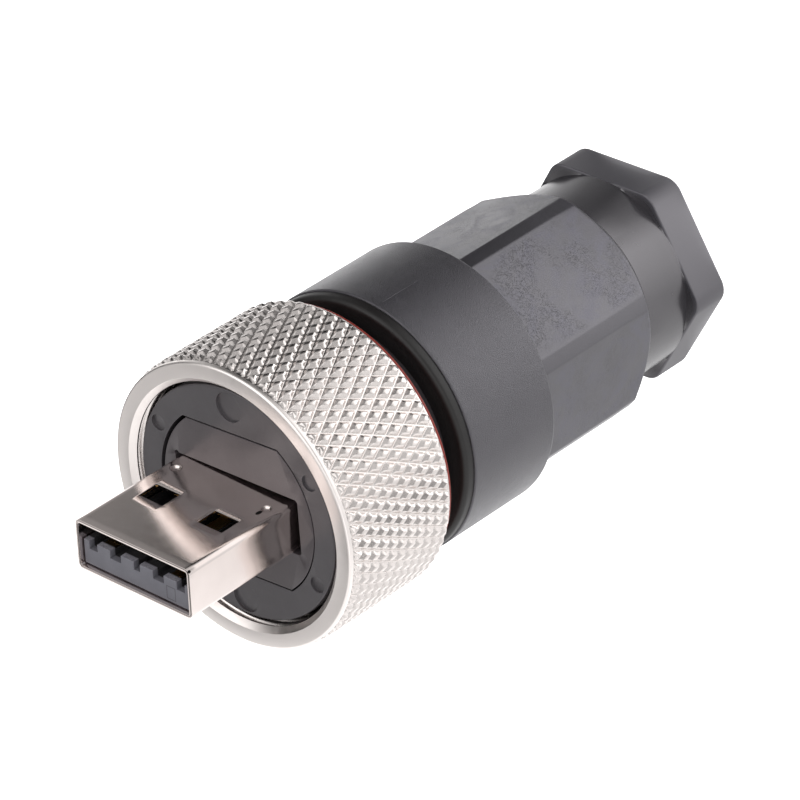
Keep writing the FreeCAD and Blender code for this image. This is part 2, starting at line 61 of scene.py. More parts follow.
# ------------------------------------------------------------ camera first
cam_data = bpy.data.cameras.new("photo_camera")
cam_data.sensor_width = 36.0
cam_data.lens = 36.0 * 5499.8 / 800.0
cam_data.clip_start = 0.02
cam_data.clip_end = 50.0
camera = bpy.data.objects.new("photo_camera", cam_data)
bpy.context.scene.collection.objects.link(camera)
right = Vector((-0.038656, -0.750465, -0.659779))
up = Vector((0.851194, 0.321132, -0.415143))
fwd = Vector((-0.523426, 0.577647, -0.626377))
m = Matrix.Identity(4)
for i in range(3):
    m[i][0], m[i][1], m[i][2] = right[i], up[i], -fwd[i]
m[0][3], m[1][3], m[2][3] = 0.2293223, -0.2529901, 0.3035342
camera.matrix_world = m
bpy.context.scene.camera = camera
bpy.context.scene.view_settings.view_transform = "Standard"
bpy.context.scene.view_settings.look = "None"


# ---------------------------------------------------------------- materials
def new_material(name):
    mat = bpy.data.materials.new(name)
    mat.use_nodes = True
    nt = mat.node_tree
    nt.nodes.clear()
    out = nt.nodes.new("ShaderNodeOutputMaterial")
    bsdf = nt.nodes.new("ShaderNodeBsdfPrincipled")
    nt.links.new(bsdf.outputs["BSDF"], out.inputs["Surface"])
    return mat, nt, bsdf


def coords(nt, scale=(1.0, 1.0, 1.0)):
    tex = nt.nodes.new("ShaderNodeTexCoord")
    mapping = nt.nodes.new("ShaderNodeMapping")
    mapping.inputs["Scale"].default_value = scale
    nt.links.new(tex.outputs["Object"], mapping.inputs["Vector"])
    return mapping.outputs["Vector"]


def noise(nt, vector, scale, detail=3.0, rough=0.55, distortion=0.0):
    n = nt.nodes.new("ShaderNodeTexNoise")
    n.inputs["Scale"].default_value = scale
    n.inputs["Detail"].default_value = detail
    n.inputs["Roughness"].default_value = rough
    n.inputs["Distortion"].default_value = distortion
    nt.links.new(vector, n.inputs["Vector"])
    return n.outputs["Fac"]


def spread(nt, value, lo, hi, in_lo=0.3, in_hi=0.7):
    r = nt.nodes.new("ShaderNodeMapRange")
    r.inputs["From Min"].default_value = in_lo
    r.inputs["From Max"].default_value = in_hi
    r.inputs["To Min"].default_value = lo
    r.inputs["To Max"].default_value = hi
    nt.links.new(value, r.inputs["Value"])
    return r.outputs["Result"]


def two_colours(nt, value, a, b, in_lo=0.3, in_hi=0.7):
    ramp = nt.nodes.new("ShaderNodeValToRGB")
    e = ramp.color_ramp.elements
    e[0].position, e[0].color = in_lo, (*a, 1.0)
    e[1].position, e[1].color = in_hi, (*b, 1.0)
    nt.links.new(value, ramp.inputs["Fac"])
    return ramp.outputs["Color"]


def bump(nt, bsdf, value, strength, distance, under=None):
    b = nt.nodes.new("ShaderNodeBump")
    b.inputs["Strength"].default_value = strength
    b.inputs["Distance"].default_value = distance
    nt.links.new(value, b.inputs["Height"])
    if under is not None:
        nt.links.new(under, b.inputs["Normal"])
    if bsdf is not None:
        nt.links.new(b.outputs["Normal"], bsdf.inputs["Normal"])
    return b.outputs["Normal"]


def position(nt):
    """The point in plug millimetres: back from the tip, wide side, thin side."""
    tex = nt.nodes.new("ShaderNodeTexCoord")
    sep = nt.nodes.new("ShaderNodeSeparateXYZ")
    nt.links.new(tex.outputs["Object"], sep.inputs[0])
    return (calc(nt, "MULTIPLY_ADD", sep.outputs[2], -1000.0, LONG),
            calc(nt, "MULTIPLY", sep.outputs[1], 1000.0),
            calc(nt, "MULTIPLY", sep.outputs[0], 1000.0))


def calc(nt, op, *values):
    m = nt.nodes.new("ShaderNodeMath")
    m.operation = op
    for socket, value in zip(m.inputs, values):
        if isinstance(value, (int, float)):
            socket.default_value = value
        else:
            nt.links.new(value, socket)
    return m.outputs[0]


def blend(nt, mask, a, b):
    """Colour a where the mask is 0 and b where it is 1."""
    m = nt.nodes.new("ShaderNodeMix")
    m.data_type = "RGBA"
    nt.links.new(mask, m.inputs[0])
    for socket, value in ((m.inputs[6], a), (m.inputs[7], b)):
        if isinstance(value, tuple):
            socket.default_value = (*value, 1.0)
        else:
            nt.links.new(value, socket)
    return m.outputs[2]


def blend_value(nt, mask, a, b):
    m = nt.nodes.new("ShaderNodeMix")
    m.data_type = "FLOAT"
    nt.links.new(mask, m.inputs[0])
    for socket, value in ((m.inputs[2], a), (m.inputs[3], b)):
        if isinstance(value, (int, float)):
            socket.default_value = value
        else:
            nt.links.new(value, socket)
    return m.outputs[0]


def spot(nt, spots, soft=0.25):
    """1 inside any of the small ellipsoids (centre, half axes), in plug mm."""
    p = position(nt)
    total = None
    for centre, half in spots:
        d = None
        for axis in range(3):
            q = calc(nt, "MULTIPLY", calc(nt, "SUBTRACT", p[axis], float(centre[axis])), 1.0 / half[axis])
            q = calc(nt, "MULTIPLY", q, q)
            d = q if d is None else calc(nt, "ADD", d, q)
        one = spread(nt, d, 1.0, 0.0, 1.0 - soft, 1.0 + soft)
        total = one if total is None else calc(nt, "MAXIMUM", total, one)
    return total


def plastic(name, dark, light, rough, grain, grain_scale, blotch=0.0, specular=0.5, ior=1.5,
            tint=(1.0, 1.0, 1.0), deep=None, marks=None, painted_highlight=None, flange=None):
    """Moulded plastic: a little colour drift, a fine spark-eroded grain.

    deep gives the distances from the tip between which the colour falls into painted
    shade, marks is a mask of darker places, pale is a mask of places painted lighter
    as a highlight, and flange is the distance from the tip behind which the surface is
    duller and its colour painted lighter as painted light."""
    mat, nt, bsdf = new_material(name)
    v = coords(nt)
    drift = noise(nt, v, 420.0, 4.0, 0.6)
    colour = two_colours(nt, drift, dark, light, 0.35, 0.68)
    bsdf.inputs["Specular IOR Level"].default_value = specular
    bsdf.inputs["IOR"].default_value = ior
    bsdf.inputs["Specular Tint"].default_value = (*tint, 1.0)
    if marks is not None:
        low = tuple(0.55 * c for c in dark)
        colour = blend(nt, marks(nt), colour, low)
    # painted highlight: the places in this mask are painted half again lighter
    if painted_highlight is not None:
        colour = blend(nt, painted_highlight(nt), colour, tuple(1.5 * c for c in light))
    # behind flange the surface is more matt, and its colour is painted lighter as painted light
    if flange is not None:
        behind = spread(nt, position(nt)[0], 0.0, 1.0, flange, flange + 0.04)
        colour = blend(nt, behind, colour, tuple(k * c for k, c in zip((1.6, 1.65, 1.75), light)))
    # painted shade: past deep the colour falls to a tenth of the dark tone, the shade deep in the mouth
    if deep is not None:
        back = spread(nt, position(nt)[0], 0.0, 1.0, deep[0], deep[1])
        colour = blend(nt, back, colour, tuple(0.10 * c for c in dark))
    nt.links.new(colour, bsdf.inputs["Base Color"])
    smudge = noise(nt, v, 260.0, 5.0, 0.62, 0.6)
    matt = spread(nt, smudge, rough - blotch, rough + blotch)
    if deep is not None:
        matt = blend_value(nt, back, matt, 0.9)
    if flange is not None:
        matt = blend_value(nt, behind, matt, 0.46)
    nt.links.new(matt, bsdf.inputs["Roughness"])
    fine = noise(nt, v, grain_scale, 2.0, 0.6)
    bump(nt, bsdf, fine, grain, 0.00002)
    return mat


def shell_plastic(name, dark, light, tint):
    """The backshell: grained collar, smoother bevels and mottled flats."""
    mat, nt, bsdf = new_material(name)
    v = coords(nt)
    x, y, z = position(nt)
    radius = calc(nt, "SQRT", calc(nt, "ADD", calc(nt, "MULTIPLY", y, y), calc(nt, "MULTIPLY", z, z)))
    collar = spread(nt, radius, 0.0, 1.0, 10.55, 10.9)
    flats = spread(nt, radius, 1.0, 0.0, 10.15, 10.38)
    drift = noise(nt, v, 420.0, 4.0, 0.6)
    colour = two_colours(nt, drift, dark, light, 0.35, 0.68)
    # cloudy patches and thin worm-like traces left on the flats by the mould
    cloud = noise(nt, v, 330.0, 6.0, 0.66, 1.4)
    patch = calc(nt, "MULTIPLY", spread(nt, cloud, 0.0, 1.0, 0.44, 0.62), flats)
    colour = blend(nt, patch, colour, (light[0] * 1.4, light[1] * 1.45, light[2] * 1.8))
    worm = noise(nt, v, 1500.0, 3.0, 0.55, 2.2)
    ridge = calc(nt, "ABSOLUTE", calc(nt, "SUBTRACT", worm, 0.5))
    trace = calc(nt, "MULTIPLY", spread(nt, ridge, 1.0, 0.0, 0.0, 0.03), spread(nt, noise(nt, v, 230.0, 3.0), 0.0, 1.0, 0.42, 0.54))
    trace = calc(nt, "MULTIPLY", trace, flats)
    colour = blend(nt, trace, colour, tuple(0.35 * c for c in dark))
    speck = spot(nt, [((33.93, 11.5 * math.cos(math.radians(155.3)), 11.5 * math.sin(math.radians(155.3))), (0.09, 0.12, 0.12))])
    colour = blend(nt, speck, colour, (0.002, 0.002, 0.002))
    nt.links.new(colour, bsdf.inputs["Base Color"])
    smudge = noise(nt, v, 300.0, 5.0, 0.62, 0.6)
    plain = spread(nt, smudge, 0.30, 0.37)
    rough = blend_value(nt, patch, plain, spread(nt, cloud, 0.35, 0.42))
    rough = blend_value(nt, trace, rough, 0.46)
    nt.links.new(rough, bsdf.inputs["Roughness"])
    bsdf.inputs["IOR"].default_value = 1.62
    bsdf.inputs["Specular IOR Level"].default_value = 0.94
    bsdf.inputs["Specular Tint"].default_value = (*tint, 1.0)
    fine = noise(nt, v, 11500.0, 2.0, 0.6)
    skin = calc(nt, "MULTIPLY", noise(nt, v, 2600.0, 4.0, 0.62, 0.8), flats)
    skin = calc(nt, "SUBTRACT", skin, calc(nt, "MULTIPLY", trace, 0.8))
    under = bump(nt, None, skin, 0.5, 0.000022)
    b = nt.nodes.new("ShaderNodeBump")
    b.inputs["Distance"].default_value = 0.00006
    nt.links.new(blend_value(nt, collar, 0.25, 1.0), b.inputs["Strength"])
    nt.links.new(fine, b.inputs["Height"])
    nt.links.new(under, b.inputs["Normal"])
    nt.links.new(b.outputs["Normal"], bsdf.inputs["Normal"])
    return mat


def metal(name, base, other, rough, spread_rough, grain, grain_scale, dark=None, deep=None, face=None):
    """Plated metal: satin or bright, with a fine irregular grain."""
    mat, nt, bsdf = new_material(name)
    v = coords(nt)
    drift = noise(nt, v, 300.0, 3.0, 0.5)
    colour = two_colours(nt, drift, base, other)
    # dark: small spots painted near black on the plating; the one beside a dimple is a painted reflection of that
    # dimple
    if dark is not None:
        colour = blend(nt, spot(nt, dark), colour, (0.02, 0.018, 0.018))
    # painted shade: the contacts are painted near black ahead of deep, inside the mouth, with random spots left bright
    # as painted glints
    if deep is not None:
        back = spread(nt, position(nt)[0], 1.0, 0.0, deep[0], deep[1])
        glint = spread(nt, noise(nt, v, 4200.0, 1.0), 0.92, 0.0, 0.64, 0.70)
        colour = blend(nt, calc(nt, "MULTIPLY", back, glint), colour, (0.05, 0.03, 0.012))
    cloud = noise(nt, v, 900.0, 4.0, 0.6)
    matt = spread(nt, cloud, rough - spread_rough, rough + spread_rough)
    if face is not None:
        # the turned front face is more matt than the knurl, and its colour is painted a little lighter as painted light
        front = spread(nt, position(nt)[0], 1.0, 0.0, face, face + 0.06)
        colour = blend(nt, front, colour, (0.96, 0.90, 0.87))
        matt = blend_value(nt, front, matt, spread(nt, cloud, 0.32, 0.40))
    nt.links.new(colour, bsdf.inputs["Base Color"])
    nt.links.new(matt, bsdf.inputs["Roughness"])
    bsdf.inputs["Metallic"].default_value = 1.0
    fine = noise(nt, v, grain_scale, 2.0, 0.5)
    bump(nt, bsdf, fine, grain, 0.00001)
    return mat


def mould_mark(nt):
    """Outline of a small rectangular insert mark on the tongue's front."""
    _, y, z = position(nt)
    dy = calc(nt, "ABSOLUTE", calc(nt, "SUBTRACT", y, -3.52))
    dz = calc(nt, "ABSOLUTE", calc(nt, "SUBTRACT", z, -1.02))
    edge = calc(nt, "MAXIMUM", calc(nt, "SUBTRACT", dy, 0.44), calc(nt, "SUBTRACT", dz, 0.56))
    return spread(nt, calc(nt, "ABSOLUTE", edge), 1.0, 0.0, 0.02, 0.06)


def lip_tops_painted_highlight(nt):
    """The tops of the tongue's four lips: the mask of a painted highlight, with a sparkly grain."""
    x, _, z = position(nt)
    tex = nt.nodes.new("ShaderNodeTexCoord")
    # the sparkle of the painted highlight
    grain = spread(nt, noise(nt, tex.outputs["Object"], 9000.0, 1.0), 0.2, 1.0, 0.4, 0.6)
    return calc(nt, "MULTIPLY", spread(nt, z, 0.0, 1.0, 0.22, 0.29), grain)


MAT = {
    # bright_nickel: two small spots painted near black, the first a painted reflection beside the right dimple
    "bright_nickel": metal("bright_nickel", (0.80, 0.715, 0.685), (0.86, 0.775, 0.745), 0.12, 0.03, 0.3, 14000.0,
                           dark=[((9.22, -4.70, 2.25), (0.34, 0.19, 0.2)), ((0.13, -5.93, 2.08), (0.17, 0.14, 0.14))]),
    "satin_nickel": metal("satin_nickel", (0.785, 0.73, 0.705), (0.845, 0.79, 0.765), 0.25, 0.05, 0.5, 9000.0, face=11.44),
    # gold_plate: painted shade on the contacts within about 4 mm of the tip, with painted glints
    "gold_plate": metal("gold_plate", (0.83, 0.57, 0.22), (0.88, 0.64, 0.30), 0.36, 0.04, 0.2, 9000.0, deep=(3.8, 4.6)),
    "tinned_steel": metal("tinned_steel", (0.52, 0.52, 0.52), (0.60, 0.60, 0.60), 0.35, 0.08, 0.4, 5000.0),
    # tongue: painted shade deeper than about 1 mm from its front, and a painted highlight on the lip tops
    "tongue_plastic": plastic("tongue_plastic", (0.140, 0.138, 0.160), (0.170, 0.168, 0.192), 0.46, 0.6, 7000.0, 0.06, 0.5,
                              deep=(0.9, 1.02), marks=mould_mark, painted_highlight=lip_tops_painted_highlight),
    "face_plastic": plastic("face_plastic", (0.051, 0.047, 0.051), (0.060, 0.056, 0.060), 0.34, 0.25, 5200.0, 0.05, 0.85,
                            tint=(1.0, 0.95, 0.98)),
    "insert_plastic": plastic("insert_plastic", (0.055, 0.048, 0.052), (0.064, 0.056, 0.060), 0.33, 0.25, 5200.0, 0.05, 0.9,
                              tint=(1.0, 0.92, 0.93)),
    "stop_black": plastic("stop_black", (0.009, 0.008, 0.008), (0.013, 0.011, 0.011), 0.46, 0.3, 5200.0, 0.05, 0.45),
    "shell_plastic": shell_plastic("shell_plastic", (0.014, 0.0132, 0.0165), (0.021, 0.0198, 0.0245), (0.965, 0.935, 1.0)),
    # nut_plastic: painted light on the flange behind 56.36 mm
    "nut_plastic": plastic("nut_plastic", (0.012, 0.0112, 0.0135), (0.018, 0.0168, 0.020), 0.25, 0.03, 4200.0, 0.03, 1.0,
                           ior=1.64, tint=(0.975, 0.94, 0.98), flange=56.36),
    "red_silicone": plastic("red_silicone", (0.22, 0.022, 0.014), (0.28, 0.032, 0.02), 0.50, 0.3, 3000.0, 0.06, 0.4),
    "black_rubber": plastic("black_rubber", (0.012, 0.012, 0.012), (0.020, 0.020, 0.020), 0.60, 0.5, 4200.0, 0.06, 0.3),
}


# ------------------------------------------------------------- mesh helpers
def piece(name, verts, faces, material, body, node=None, weld=True, sharp=None, weighted=True):
    """A piece from points in plug millimetres; it stands for node and rides on body."""
    mesh = bpy.data.meshes.new(name)
    mesh.from_pydata(row(verts).tolist(), [], faces)
    bm = bmesh.new()
    bm.from_mesh(mesh)
    if weld:
        bmesh.ops.remove_doubles(bm, verts=bm.verts, dist=2e-7)
        bmesh.ops.dissolve_degenerate(bm, dist=1e-8, edges=bm.edges)
    bmesh.ops.recalc_face_normals(bm, faces=bm.faces)
    for f in bm.faces:
        f.smooth = True
    if sharp is not None:
        limit = math.radians(sharp)
        for e in bm.edges:
            if len(e.link_faces) == 2 and e.calc_face_angle(0.0) > limit:
                e.smooth = False
    bm.to_mesh(mesh)
    bm.free()
    mesh.validate()
    obj = bpy.data.objects.new(name, mesh)
    bpy.context.scene.collection.objects.link(obj)
    mesh.materials.append(MAT[material])
    if weighted:
        w = obj.modifiers.new("normals", "WEIGHTED_NORMAL")
        w.mode = "FACE_AREA"
        w.weight = 60
        w.keep_sharp = True
    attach(obj, body)
    if node:
        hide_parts(node)
    return obj


class Build:
    """Gathers points and faces of one piece."""

    def __init__(self):
        self.v = []
        self.f = []
        self.n = 0

    def points(self, p):
        p = np.asarray(p, float).reshape(-1, 3)
        first = self.n
        self.v.append(p)
        self.n += len(p)
        return list(range(first, first + len(p)))

    def strip(self, a, b, closed=True):
        """Quads between two loops of the same length."""
        k = len(a)
        for i in range(k if closed else k - 1):
            j = (i + 1) % k
            self.f.append((a[i], a[j], b[j], b[i]))

    def loops(self, rows, closed=True, ring=False):
        """A skin through equal-length loops; ring joins the last to the first."""
        ids = [self.points(r) for r in rows]
        for a, b in zip(ids, ids[1:]):
            self.strip(a, b, closed)
        if ring:
            self.strip(ids[-1], ids[0], closed)
        return ids

    def zipper(self, a, pa, b, pb):
        """Triangles between two closed loops with different counts, both sorted by angle."""
        i = j = 0
        na, nb = len(a), len(b)
        # start b at the angle next to a[0]
        off = min(range(nb), key=lambda q: abs(math.atan2(math.sin(pb[q] - pa[0]), math.cos(pb[q] - pa[0]))))
        b = b[off:] + b[:off]
        pb = list(pb[off:]) + list(pb[:off])
        base = pa[0]
        ua = [(p - base) % TAU for p in pa] + [TAU]
        ub = [((p - base + PI) % TAU) - PI if q == 0 else (p - base) % TAU for q, p in enumerate(pb)]
        ub = ub + [ub[0] + TAU]
        while i < na or j < nb:
            if j >= nb or (i < na and ua[i + 1] <= ub[j + 1]):
                self.f.append((a[i % na], a[(i + 1) % na], b[j % nb]))
                i += 1
            else:
                self.f.append((a[i % na], b[(j + 1) % nb], b[j % nb]))
                j += 1

    def verts(self):
        return np.concatenate(self.v)


def circle_row(x, r, phis):
    phis = np.asarray(phis, float)
    x = np.broadcast_to(x, phis.shape)
    r = np.broadcast_to(r, phis.shape)
    return np.stack([x, r * np.cos(phis), r * np.sin(phis)], 1)


def arc_profile(points, radii, steps=4):
    """A polyline in (x, r) with its corners rounded by the radii given."""
    out = []
    k = len(points)
    for i, (p, rad) in enumerate(zip(points, radii)):
        p = np.array(p, float)
        if rad <= 0:
            out.append(p)
            continue
        a = np.array(points[(i - 1) % k], float)
        b = np.array(points[(i + 1) % k], float)
        u = (a - p) / np.linalg.norm(a - p)
        w = (b - p) / np.linalg.norm(b - p)
        half = math.acos(max(-1, min(1, float(u @ w)))) / 2
        t = rad / math.tan(half)
        centre = p + (u + w) / np.linalg.norm(u + w) * rad / math.sin(half)
        s, e = p + u * t, p + w * t
        a0 = math.atan2(*(s - centre)[::-1])
        a1 = math.atan2(*(e - centre)[::-1])
        d = (a1 - a0 + PI) % TAU - PI
        for q in range(steps + 1):
            ang = a0 + d * q / steps
            out.append(centre + rad * np.array([math.cos(ang), math.sin(ang)]))
    return out


def lathe(name, points, radii, material, body, node, segments=192, steps=4, holes=None):
    """A turned piece from its closed section, swung round the plug's axis."""
    prof = arc_profile(points, radii, steps)
    phis = np.arange(segments) * TAU / segments
    b = Build()
    b.loops([circle_row(x, r, phis) for x, r in prof], ring=True)
    return piece(name, b.verts(), b.f, material, body, node)


def inside(poly, p):
    x, y = p
    hit = False
    j = len(poly) - 1
    for i in range(len(poly)):
        xi, yi = poly[i]
        xj, yj = poly[j]
        if (yi > y) != (yj > y) and x < (xj - xi) * (y - yi) / (yj - yi) + xi:
            hit = not hit
        j = i
    return hit


def fill(outer, holes):
    """Triangles of a flat face with holes; returns points (2D) and triangles."""
    pts, edges = [], []
    for loop in [outer] + holes:
        s = len(pts)
        pts += [Vector((float(a), float(c))) for a, c in loop]
        edges += [(s + i, s + (i + 1) % len(loop)) for i in range(len(loop))]
    co, _, tris, *_ = delaunay_2d_cdt(pts, edges, [], 0, 1e-7)
    keep = []
    for t in tris:
        cx = sum(co[i][0] for i in t) / 3
        cy = sum(co[i][1] for i in t) / 3
        if inside(outer, (cx, cy)) and not any(inside(h, (cx, cy)) for h in holes):
            keep.append(tuple(t))
    return [(c[0], c[1]) for c in co], keep


def flat(build, x, outer, holes):
    co, tris = fill(outer, holes)
    ids = build.points([(x, a, c) for a, c in co])
    for t in tris:
        build.f.append(tuple(ids[i] for i in t))


def loop3(x, loop):
    return [(x, a, c) for a, c in loop]


def round_loop(cy, cz, r, n):
    return [(cy + r * math.cos(TAU * i / n), cz + r * math.sin(TAU * i / n)) for i in range(n)]


def dee_loop(r, flat_half, turn, n_arc=40, n_flat=1, shift=0.0):
    """A circle with two flats; turn in degrees."""
    a = math.asin(flat_half / r)
    pts = []
    for i in range(n_arc + 1):
        t = -a + 2 * a * i / n_arc
        pts.append((r * math.cos(t), r * math.sin(t)))
    y = r * math.cos(a)
    for i in range(1, n_flat):
        pts.append((y - 2 * y * i / n_flat, flat_half))
    for i in range(n_arc + 1):
        t = PI - a + 2 * a * i / n_arc
        pts.append((r * math.cos(t), r * math.sin(t)))
    for i in range(1, n_flat):
        pts.append((-y + 2 * y * i / n_flat, -flat_half))
    c, s = math.cos(math.radians(turn)), math.sin(math.radians(turn))
    return [(p * c - q * s + shift, p * s + q * c) for p, q in pts]


def rect_loop(half_y, half_z, r, n=6, turn=0.0, shift=0.0, notch=0.0):
    """A rectangle with rounded corners; notch is the radius of a relief at the first one."""
    pts = []
    corners = [(half_y - r, half_z - r, 0.0), (-half_y + r, half_z - r, 90.0),
               (-half_y + r, -half_z + r, 180.0), (half_y - r, -half_z + r, 270.0)]
    for k, (cy, cz, start) in enumerate(corners):
        for i in range(n + 1):
            t = math.radians(start + 90.0 * i / n)
            if k == 0 and notch:
                t = math.radians(-50.0 + 210.0 * i / n)
                pts.append((half_y - 0.8 * notch + notch * math.cos(t), half_z - 0.3 * notch + notch * math.sin(t)))
            else:
                pts.append((cy + r * math.cos(t), cz + r * math.sin(t)))
    c, s = math.cos(math.radians(turn)), math.sin(math.radians(turn))
    return [(p * c - q * s + shift, p * s + q * c) for p, q in pts]


# ----------------------------------------------------------- coupling ring
KN_LINES = 68            # grooves of each hand
KN_FX = 0.476            # turns of the groove phase per mm along the ring
KN_DEEP = 0.31
KN_FRONT, KN_REAR = 11.52, 22.72
KN_FLOOR = 12.19


def knurl_wave(t):
    """Height 0..1 of one groove family at phase t."""
    u = np.abs((t + 0.5) % 1.0 - 0.5)
    return np.clip((u - 0.06) / 0.232, 0.0, 1.0)


def knurl_radius(x, phi):
    base = KN_LINES * phi / TAU
    s1 = base + KN_FX * (x - 17.0)
    s2 = base - KN_FX * (x - 17.0)
    h = np.minimum(knurl_wave(s1), knurl_wave(s2))
    r = 12.5 - KN_DEEP * (1.0 - h)
    env = np.minimum(12.5, np.minimum(KN_FLOOR + (x - KN_FRONT) * 0.9, KN_FLOOR + (KN_REAR - x) * 0.9))
    return np.minimum(r, env)


def knurled_ring():
    subs = [-0.076, -0.044, 0.044, 0.076, 0.276, 0.308, 0.692, 0.724]
    k = len(subs)
    total = KN_LINES * k
    # phases of every sub-line, and the sheet of their crossings
    span = (KN_REAR - KN_FRONT) / 2 + 0.9
    mid = (KN_REAR + KN_FRONT) / 2
    ph = lambda i: (i // k) + subs[i % k]
    keys = {}
    verts = []

    def vert(i, j):
        turn = i // total
        key = (i - turn * total, j - turn * total)
        if key not in keys:
            s1, s2 = ph(key[0]), ph(key[1])
            x = 17.0 + (s1 - s2) / (2 * KN_FX)
            phi = (s1 + s2) / 2 / KN_LINES * TAU
            keys[key] = len(verts)
            verts.append((x, 12.5 * math.cos(phi), 12.5 * math.sin(phi)))
        return keys[key]

    reach = int(2 * KN_FX * (span + abs(mid - 17.0)) * k) + 2 * k
    faces = []
    for i in range(total):
        for j in range(i - reach, i + reach):
            x = 17.0 + (ph(i) - ph(j)) / (2 * KN_FX)
            if abs(x - mid) < span:
                faces.append((vert(i, j), vert(i + 1, j), vert(i + 1, j + 1), vert(i, j + 1)))
    bm = bmesh.new()
    bvs = [bm.verts.new(v) for v in verts]
    for f in faces:
        bm.faces.new([bvs[q] for q in f])
    for x, inner, outer in ((KN_FRONT, True, False), (KN_REAR, False, True),
                            (KN_FRONT + 0.29, False, False), (KN_REAR - 0.29, False, False)):
        bmesh.ops.bisect_plane(bm, geom=bm.verts[:] + bm.edges[:] + bm.faces[:], dist=1e-5,
                               plane_co=(x, 0, 0), plane_no=(1, 0, 0), clear_inner=inner, clear_outer=outer)
    bmesh.ops.remove_doubles(bm, verts=bm.verts, dist=1e-3)
    co = np.array([v.co for v in bm.verts])
    phi = np.arctan2(co[:, 2], co[:, 1])
    r = knurl_radius(co[:, 0], phi)
    for v, rr, p in zip(bm.verts, r, phi):
        v.co = (v.co.x, rr * math.cos(p), rr * math.sin(p))
    # split quads so that creases run from the lowest to the highest corner
    bm.verts.index_update()
    out = []
    rr = np.hypot([v.co.y for v in bm.verts], [v.co.z for v in bm.verts])
    for f in bm.faces:
        ids = [v.index for v in f.verts]
        if len(ids) == 4:
            top = max(range(4), key=lambda q: rr[ids[q]])
            ids = ids[top:] + ids[:top]
            out.append((ids[0], ids[1], ids[2]))
            out.append((ids[0], ids[2], ids[3]))
        elif len(ids) == 3:
            out.append(tuple(ids))
        else:
            top = max(range(len(ids)), key=lambda q: rr[ids[q]])
            ids = ids[top:] + ids[:top]
            for q in range(1, len(ids) - 1):
                out.append((ids[0], ids[q], ids[q + 1]))
    b = Build()
    new = b.points([tuple(v.co) for v in bm.verts])
    b.f += [tuple(new[i] for i in t) for t in out]
    bounds = {}
    for e in bm.edges:
        if len(e.link_faces) == 1:
            for v in e.verts:
                side = "front" if abs(v.co.x - KN_FRONT) < 1e-3 else "rear"
                bounds.setdefault(side, {})[v.index] = math.atan2(v.co.z, v.co.y) % TAU
    bm.free()

    segments = 288
    phis = np.arange(segments) * TAU / segments
    # from the knurl's front edge over the lip, down the front face and into
    # the countersunk mouth
    front = arc_profile([(KN_FRONT, KN_FLOOR), (11.46, 12.29), (11.0, 12.3), (11.0, 10.97), (11.47, 10.5), (12.2, 10.5)],
                        [0, 0.03, 0.22, 0.035, 0.05, 0], 5)[:-1]
    thread_front, thread_rear, pitch, deep = 11.55, 18.0, 1.0, 0.44
    rows = [circle_row(x, r, phis) for x, r in front[1:]]
    for x in np.arange(thread_front, thread_rear + 1e-6, 0.083):
        t = ((x - 11.95 - pitch * phis / TAU) / pitch) % 1.0
        u = np.abs(t - 0.5) * 2.0
        cut = np.clip((u - 0.22) / 0.66, 0.0, 1.0)
        cut = cut * cut * (3 - 2 * cut)
        lead = np.clip((x - thread_front) / 0.2, 0.0, 1.0)
        rows.append(circle_row(x, 10.5 + deep * cut * lead, phis))
    tail = arc_profile([(18.05, 11.35), (19.05, 11.35), (19.05, 9.46), (22.8, 9.46), (22.8, 12.16), (KN_REAR, KN_FLOOR)],
                       [0, 0.1, 0.15, 0.15, 0.06, 0], 3)
    rows += [circle_row(x, r, phis) for x, r in tail[:-1]]
    ids = b.loops(rows)
    for side, loop in (("front", ids[0]), ("rear", ids[-1])):
        got = sorted(bounds[side].items(), key=lambda q: q[1])
        a = [new[i] for i, _ in got]
        b.zipper(a, [p for _, p in got], loop, list(phis))
    return piece("ring_knurled", b.verts(), b.f, "satin_nickel", "ring", "coupling_ring")


knurled_ring()


# -------------------------------------------------------- hexagonal backshell
def soft_min(a, b, k):
    """The smaller of two, rounded over k where they meet."""
    h = np.clip(0.5 + 0.5 * (b - a) / k, 0.0, 1.0)
    return b * (1 - h) + a * h - k * h * (1 - h)


def hexagon(phi, apothem, phase):
    """Radius of a hexagon with a corner at phase (degrees)."""
    t = (phi - math.radians(phase)) % (PI / 3) - PI / 6
    return apothem / np.cos(t)


def hex_columns(phase, bevel_half, fine=0.35):
    """Angles that crowd at the corners and bevels of a hexagon."""
    cols = []
    for k in range(6):
        corner = phase + 60.0 * k
        rel = [0.0]
        for d in (bevel_half,):
            rel += [d - 2 * fine, d - fine, d, d + fine, d + 2 * fine, d + 4 * fine]
        rel += list(np.linspace(bevel_half + 6 * fine, 30.0, 14))
        rel = sorted(set(round(q, 4) for q in rel if 0 <= q <= 30.0))
        both = sorted(set([round(-q, 4) for q in rel] + rel))
        cols += [corner + q for q in both if q > -30.0]
    cols += [98.1, 98.35, 98.5, 98.6, 98.7, 98.85]
    return np.radians(np.array(sorted(cols)))


